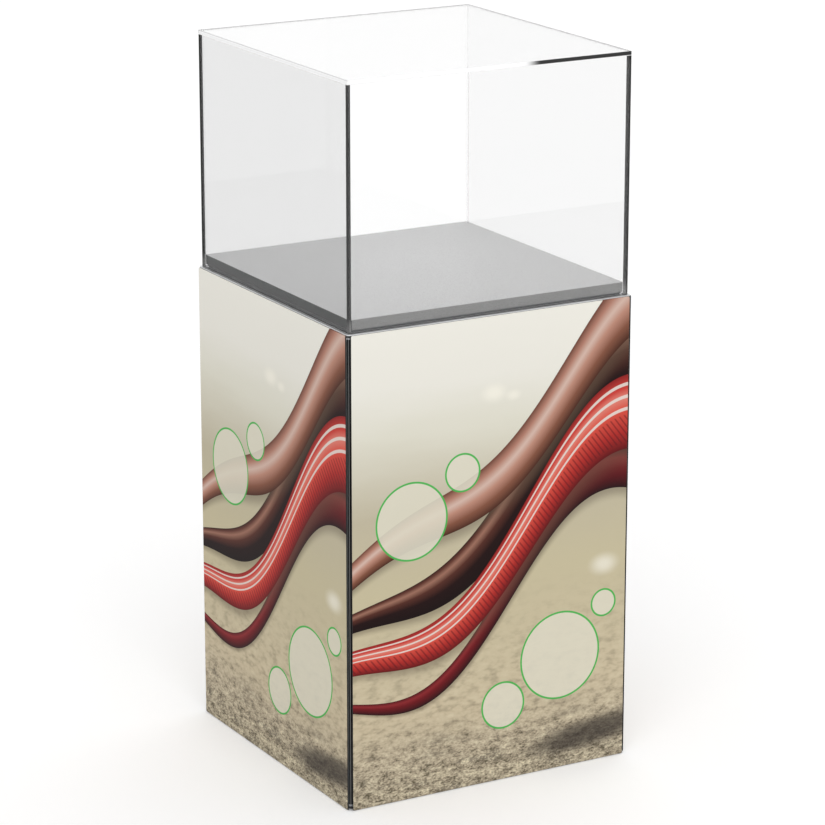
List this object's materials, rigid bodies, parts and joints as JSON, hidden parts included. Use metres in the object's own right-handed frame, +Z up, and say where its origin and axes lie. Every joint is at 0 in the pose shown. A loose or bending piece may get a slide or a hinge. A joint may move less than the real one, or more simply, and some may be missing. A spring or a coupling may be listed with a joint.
{
  "type": "pedestal display case",
  "caption": "Square floor pedestal with stretched fabric sides on a black frame, a grey deck on a pale ledge, and a clear box cover that lifts straight off.",
  "frame": {"origin": "middle of the square footprint, on the floor", "axes": "+Z up, -Y the front graphic, +X to the right seen from the front"},
  "size_m": [0.508, 0.508, 1.149],
  "materials": {
    "black_aluminium": "black anodised extrusion, fine satin",
    "satin_aluminium": "clear anodised plate, satin",
    "cast_aluminium": "sawn and tumbled, bare",
    "black_plastic": "moulded, fine texture",
    "glide_plastic": "moulded nylon, smooth",
    "zinc_steel": "zinc plated",
    "black_steel": "black oxide",
    "printed_fabric": "stretched knitted polyester with a dye-sublimated print",
    "silicone": "smoky silicone strip, sewn on",
    "black_board": "black faced fibreboard",
    "charcoal_board": "painted fibreboard, matt",
    "grey_laminate": "board faced and edged with grey laminate, matt",
    "clear_acrylic": "clear cast acrylic sheet with polished, glued edges"
  },
  "bodies": {
    "pedestal": {"corner_post_front_left": "black_aluminium", "top_end_plate_front_left": "satin_aluminium", "foot_end_plate_front_left": "satin_aluminium", "top_cap_front_left": "black_plastic", "foot_cap_front_left": "black_plastic", "glide_foot_front_left": "glide_plastic", "corner_post_front_right": "black_aluminium", "top_end_plate_front_right": "satin_aluminium", "foot_end_plate_front_right": "satin_aluminium", "top_cap_front_right": "black_plastic", "foot_cap_front_right": "black_plastic", "glide_foot_front_right": "glide_plastic", "corner_post_back_right": "black_aluminium", "top_end_plate_back_right": "satin_aluminium", "foot_end_plate_back_right": "satin_aluminium", "top_cap_back_right": "black_plastic", "foot_cap_back_right": "black_plastic", "glide_foot_back_right": "glide_plastic", "corner_post_back_left": "black_aluminium", "top_end_plate_back_left": "satin_aluminium", "foot_end_plate_back_left": "satin_aluminium", "top_cap_back_left": "black_plastic", "foot_cap_back_left": "black_plastic", "glide_foot_back_left": "glide_plastic", "top_rail_front": "black_aluminium", "bottom_rail_front": "black_aluminium", "graphic_front": "printed_fabric", "edge_beads_front": "silicone", "top_rail_right": "black_aluminium", "bottom_rail_right": "black_aluminium", "graphic_right": "printed_fabric", "edge_beads_right": "silicone", "top_rail_back": "black_aluminium", "bottom_rail_back": "black_aluminium", "graphic_back": "printed_fabric", "edge_beads_back": "silicone", "top_rail_left": "black_aluminium", "bottom_rail_left": "black_aluminium", "graphic_left": "printed_fabric", "edge_beads_left": "silicone", "rail_spigots_top": "cast_aluminium", "rail_spigots_bottom": "cast_aluminium", "spigot_bolts": "zinc_steel", "rail_set_screws": "black_steel", "top_end_plate_screws": "zinc_steel", "foot_end_plate_screws": "zinc_steel", "base_panel": "black_board", "base_panel_screws": "zinc_steel", "top_plate": "satin_aluminium", "top_plate_screws": "zinc_steel", "deck_riser": "charcoal_board", "deck": "grey_laminate", "deck_screws": "zinc_steel"},
    "cover": {"cover_front": "clear_acrylic", "cover_back": "clear_acrylic", "cover_left": "clear_acrylic", "cover_right": "clear_acrylic", "cover_top": "clear_acrylic"}
  },
  "joints": [
    {"name": "cover_lift", "type": "slide", "parent": "pedestal", "child": "cover", "axis": [0, 0, 1], "range_m": [0, 0.4]}
  ]
}
